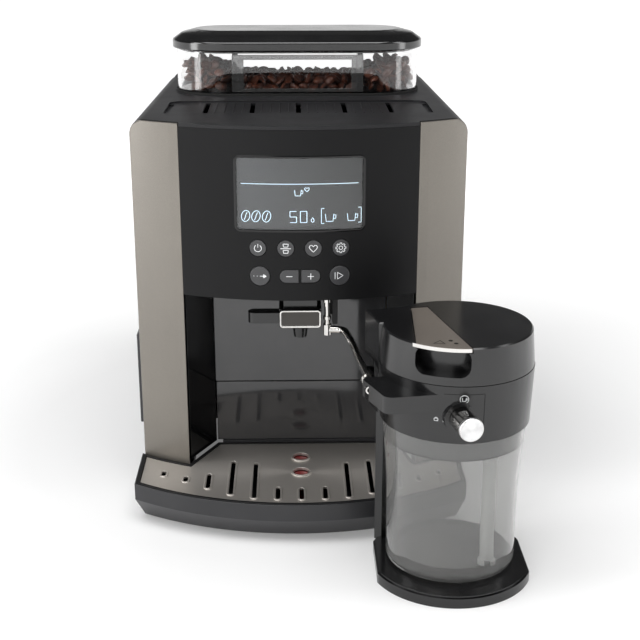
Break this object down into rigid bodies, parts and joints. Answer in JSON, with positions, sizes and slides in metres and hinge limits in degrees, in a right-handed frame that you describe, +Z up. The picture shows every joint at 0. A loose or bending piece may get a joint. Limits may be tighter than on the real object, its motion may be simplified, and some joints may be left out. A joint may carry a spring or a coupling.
{
  "type": "automatic espresso machine",
  "caption": "Bean-to-cup coffee machine with a clear bean hopper, bowed control fascia, slotted drip tray, lift-out water tank and a lidded milk jug joined by a bent pipe.",
  "frame": {"origin": "middle of the housing's footprint between its front corners and the water tank, on the worktop", "axes": "+Z up, +X to the right of someone facing the machine, -Y towards them"},
  "size_m": [0.2982, 0.4972, 0.365],
  "materials": {
    "hood_grey": "satin moulded plastic",
    "taupe_panel": "satin taupe metallic paint",
    "gasket_black": "matte",
    "fascia_black": "fine matte",
    "gloss_black": "high gloss",
    "gloss_grey": "high gloss, dark grey",
    "window_smoke": "smoked clear window",
    "screen": "screen",
    "board_green": "circuit board",
    "button_grey": "satin gloss",
    "tray_grey": "satin",
    "rim_black": "matte",
    "steel_plate": "brushed",
    "float_red": "gloss",
    "container_black": "matte",
    "outlet_black": "satin",
    "polished_steel": "polished",
    "badge_metal": "polished frame, dark plate",
    "clear_bowl": "clear plastic",
    "bean_brown": "roasted beans",
    "lid_dark": "satin",
    "grinder_shell": "moulded",
    "burr_steel": "ground",
    "motor_steel": "plated",
    "brew_white": "natural plastic",
    "heater_aluminium": "cast",
    "pump_brass": "plain",
    "tank_smoke": "smoked clear plastic",
    "foot_rubber": "matte",
    "inlet_black": "matte",
    "jug_black": "satin gloss",
    "jug_clear": "clear plastic, slightly grey",
    "tube_white": "natural white",
    "taupe_lever": "satin taupe paint",
    "knob_metal": "polished"
  },
  "bodies": {
    "machine": {"base_pan": "inlet_black", "machine_feet": "foot_rubber", "rear_base": "hood_grey", "power_inlet": "inlet_black", "top_deck": "hood_grey", "rear_wall": "hood_grey", "chassis": "grinder_shell", "side_panels": "hood_grey", "side_grips": "lid_dark", "front_panels": "taupe_panel", "panel_gaskets": "gasket_black", "fascia": "fascia_black", "display_window": "window_smoke", "display_module": "screen", "control_board": "board_green", "recess_ceiling": "fascia_black", "back_panel": "gloss_grey", "cheeks": "gloss_black", "steam_rod": "polished_steel", "milk_pipe": "polished_steel", "hopper_bowl": "clear_bowl", "hopper_divider": "clear_bowl", "coffee_beans": "bean_brown", "grinder_housing": "grinder_shell", "upper_burr": "burr_steel", "grinder_motor": "motor_steel", "brew_chamber": "brew_white", "thermoblock": "heater_aluminium", "pump": "pump_brass", "water_lines": "brew_white"},
    "mains_rocker": {"switch_rocker": "inlet_black"},
    "drawer": {"drip_tray": "tray_grey", "drawer_front": "gloss_grey"},
    "tray_cover": {"tray_rim": "rim_black", "drip_grid": "steel_plate"},
    "float": {"tray_float": "float_red"},
    "grounds_box": {"grounds_container": "container_black"},
    "outlet": {"outlet_block": "outlet_black", "outlet_nozzles": "outlet_black", "badge": "badge_metal"},
    "hopper_cover": {"hopper_lid": "lid_dark"},
    "grinder_rotor": {"lower_burr": "burr_steel"},
    "piston": {"brew_piston": "heater_aluminium"},
    "tank": {"water_tank": "tank_smoke"},
    "tank_cover": {"tank_lid": "hood_grey"},
    "jug": {"jug_plinth": "jug_black", "milk_container": "jug_clear"},
    "jug_head": {"jug_collar": "jug_black", "dip_tube": "tube_white"},
    "jug_cover": {"jug_lid": "jug_black"},
    "lever": {"lid_lever": "taupe_lever"},
    "selector": {"selector_knob": "knob_metal"},
    "button_power_cap": {"button_power": "button_grey"},
    "button_long_cup_cap": {"button_long_cup": "button_grey"},
    "button_favourite_cap": {"button_favourite": "button_grey"},
    "button_settings_cap": {"button_settings": "button_grey"},
    "button_next_cap": {"button_next": "button_grey"},
    "button_minus_cap": {"button_minus": "button_grey"},
    "button_plus_cap": {"button_plus": "button_grey"},
    "button_start_cap": {"button_start": "button_grey"}
  },
  "joints": [
    {"name": "mains_switch", "type": "hinge", "parent": "machine", "child": "mains_rocker", "pos_m": [-0.042, 0.1555, 0.034], "axis": [0, 0, 1], "range_deg": [-6, 6]},
    {"name": "drawer_slide", "type": "slide", "parent": "machine", "child": "drawer", "axis": [0, -1, 0], "range_m": [0, 0.14]},
    {"name": "tray_cover_lift", "type": "slide", "parent": "drawer", "child": "tray_cover", "axis": [0, 0, 1], "range_m": [0, 0.03]},
    {"name": "float_rise", "type": "slide", "parent": "drawer", "child": "float", "axis": [0, 0, 1], "range_m": [0, 0.006]},
    {"name": "grounds_lift", "type": "slide", "parent": "drawer", "child": "grounds_box", "axis": [0, 0, 1], "range_m": [0, 0.01]},
    {"name": "outlet_height", "type": "slide", "parent": "machine", "child": "outlet", "axis": [0, 0, -1], "range_m": [0, 0.045]},
    {"name": "hopper_lid_lift", "type": "slide", "parent": "machine", "child": "hopper_cover", "axis": [0, 0, 1], "range_m": [0, 0.06]},
    {"name": "grinder_spin", "type": "hinge", "parent": "machine", "child": "grinder_rotor", "pos_m": [0, 0.034, 0.232], "axis": [0, 0, 1], "continuous": true},
    {"name": "piston_stroke", "type": "slide", "parent": "machine", "child": "piston", "axis": [0, 0, -1], "range_m": [0, 0.037]},
    {"name": "tank_lift", "type": "slide", "parent": "machine", "child": "tank", "axis": [0, 0, 1], "range_m": [0, 0.25]},
    {"name": "tank_lid_hinge", "type": "hinge", "parent": "tank", "child": "tank_cover", "pos_m": [0, 0.1619, 0.2992], "axis": [-1, 0, 0], "range_deg": [0, 100]},
    {"name": "jug_withdraw", "type": "slide", "parent": "drawer", "child": "jug", "axis": [0, -1, 0], "range_m": [0, 0.15]},
    {"name": "jug_head_lift", "type": "slide", "parent": "jug", "child": "jug_head", "axis": [0, 0, 1], "range_m": [0, 0.12]},
    {"name": "jug_lid_lift", "type": "slide", "parent": "jug_head", "child": "jug_cover", "axis": [0, 0, 1], "range_m": [0, 0.03]},
    {"name": "lever_hinge", "type": "hinge", "parent": "jug_cover", "child": "lever", "pos_m": [0.086, -0.221, 0.188], "axis": [-0.9877, -0.1564, 0], "range_deg": [0, 60]},
    {"name": "selector_turn", "type": "hinge", "parent": "jug_head", "child": "selector", "pos_m": [0.1058, -0.3102, 0.141], "axis": [0.2079, -0.9781, 0], "range_deg": [-90, 0]},
    {"name": "button_power_press", "type": "slide", "parent": "machine", "child": "button_power_cap", "axis": [0, 1, 0], "range_m": [0, 0.0012], "stiffness_N_per_m": 400},
    {"name": "button_long_cup_press", "type": "slide", "parent": "machine", "child": "button_long_cup_cap", "axis": [0, 1, 0], "range_m": [0, 0.0012], "stiffness_N_per_m": 400},
    {"name": "button_favourite_press", "type": "slide", "parent": "machine", "child": "button_favourite_cap", "axis": [0, 1, 0], "range_m": [0, 0.0012], "stiffness_N_per_m": 400},
    {"name": "button_settings_press", "type": "slide", "parent": "machine", "child": "button_settings_cap", "axis": [0, 1, 0], "range_m": [0, 0.0012], "stiffness_N_per_m": 400},
    {"name": "button_next_press", "type": "slide", "parent": "machine", "child": "button_next_cap", "axis": [0, 1, 0], "range_m": [0, 0.0012], "stiffness_N_per_m": 400},
    {"name": "button_minus_press", "type": "slide", "parent": "machine", "child": "button_minus_cap", "axis": [0, 1, 0], "range_m": [0, 0.0012], "stiffness_N_per_m": 400},
    {"name": "button_plus_press", "type": "slide", "parent": "machine", "child": "button_plus_cap", "axis": [0, 1, 0], "range_m": [0, 0.0012], "stiffness_N_per_m": 400},
    {"name": "button_start_press", "type": "slide", "parent": "machine", "child": "button_start_cap", "axis": [0, 1, 0], "range_m": [0, 0.0012], "stiffness_N_per_m": 400}
  ]
}
